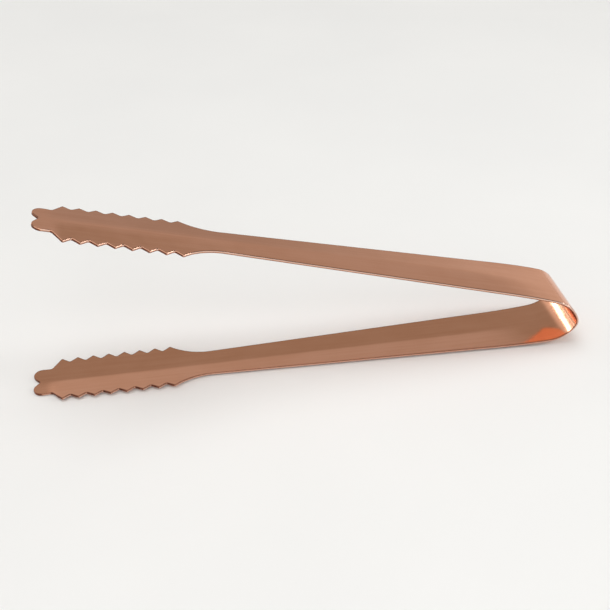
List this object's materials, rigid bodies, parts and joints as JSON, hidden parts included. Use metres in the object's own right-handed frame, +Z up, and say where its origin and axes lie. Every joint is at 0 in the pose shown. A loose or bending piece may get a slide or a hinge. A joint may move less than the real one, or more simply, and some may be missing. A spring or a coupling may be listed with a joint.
{
  "type": "ice tongs",
  "caption": "Spring ice tongs: one copper-plated steel strip bent into a V with a round bow, with toothed trough jaws and notched flat tips.",
  "frame": {"origin": "on the resting plane, under the middle of the whole object's box", "axes": "+X along the lower arm towards the bow, Y across the strip, +Z up from the lower arm towards the upper arm"},
  "size_m": [0.1824, 0.0232, 0.0619],
  "materials": {
    "copper_plate": "satin-bright copper plate over pressed spring steel"
  },
  "bodies": {
    "bow": {"bow_crown": "copper_plate", "upper_bow_side": "copper_plate", "lower_bow_side": "copper_plate"},
    "upper_spring": {"upper_arm_root": "copper_plate"},
    "upper_grip": {"upper_arm": "copper_plate", "upper_jaw": "copper_plate", "upper_tip": "copper_plate"},
    "lower_spring": {"lower_arm_root": "copper_plate"},
    "lower_grip": {"lower_arm": "copper_plate", "lower_jaw": "copper_plate", "lower_tip": "copper_plate"}
  },
  "joints": [
    {"name": "squeeze", "type": "hinge", "parent": "bow", "child": "upper_spring", "pos_m": [0.08365, 0, 0.01619], "axis": [0, -1, 0], "range_deg": [0, 5.49], "stiffness_Nm_per_rad": 4.2},
    {"name": "upper_arm_flex", "type": "hinge", "parent": "upper_spring", "child": "upper_grip", "pos_m": [0.05464, 0, 0.02458], "axis": [0, -1, 0], "range_deg": [0, 5.49], "stiffness_Nm_per_rad": 4.2},
    {"name": "lower_bow_flex", "type": "hinge", "parent": "bow", "child": "lower_spring", "pos_m": [0.08186, 0, 0.00219], "axis": [0, 1, 0], "range_deg": [0, 5.49], "stiffness_Nm_per_rad": 4.2},
    {"name": "lower_arm_flex", "type": "hinge", "parent": "lower_spring", "child": "lower_grip", "pos_m": [0.05167, 0, 0.00139], "axis": [0, 1, 0], "range_deg": [0, 5.49], "stiffness_Nm_per_rad": 4.2}
  ],
  "couplings": [
    {"joint": "upper_arm_flex", "follows": "squeeze", "ratio": 1},
    {"joint": "lower_bow_flex", "follows": "squeeze", "ratio": 1},
    {"joint": "lower_arm_flex", "follows": "squeeze", "ratio": 1}
  ]
}
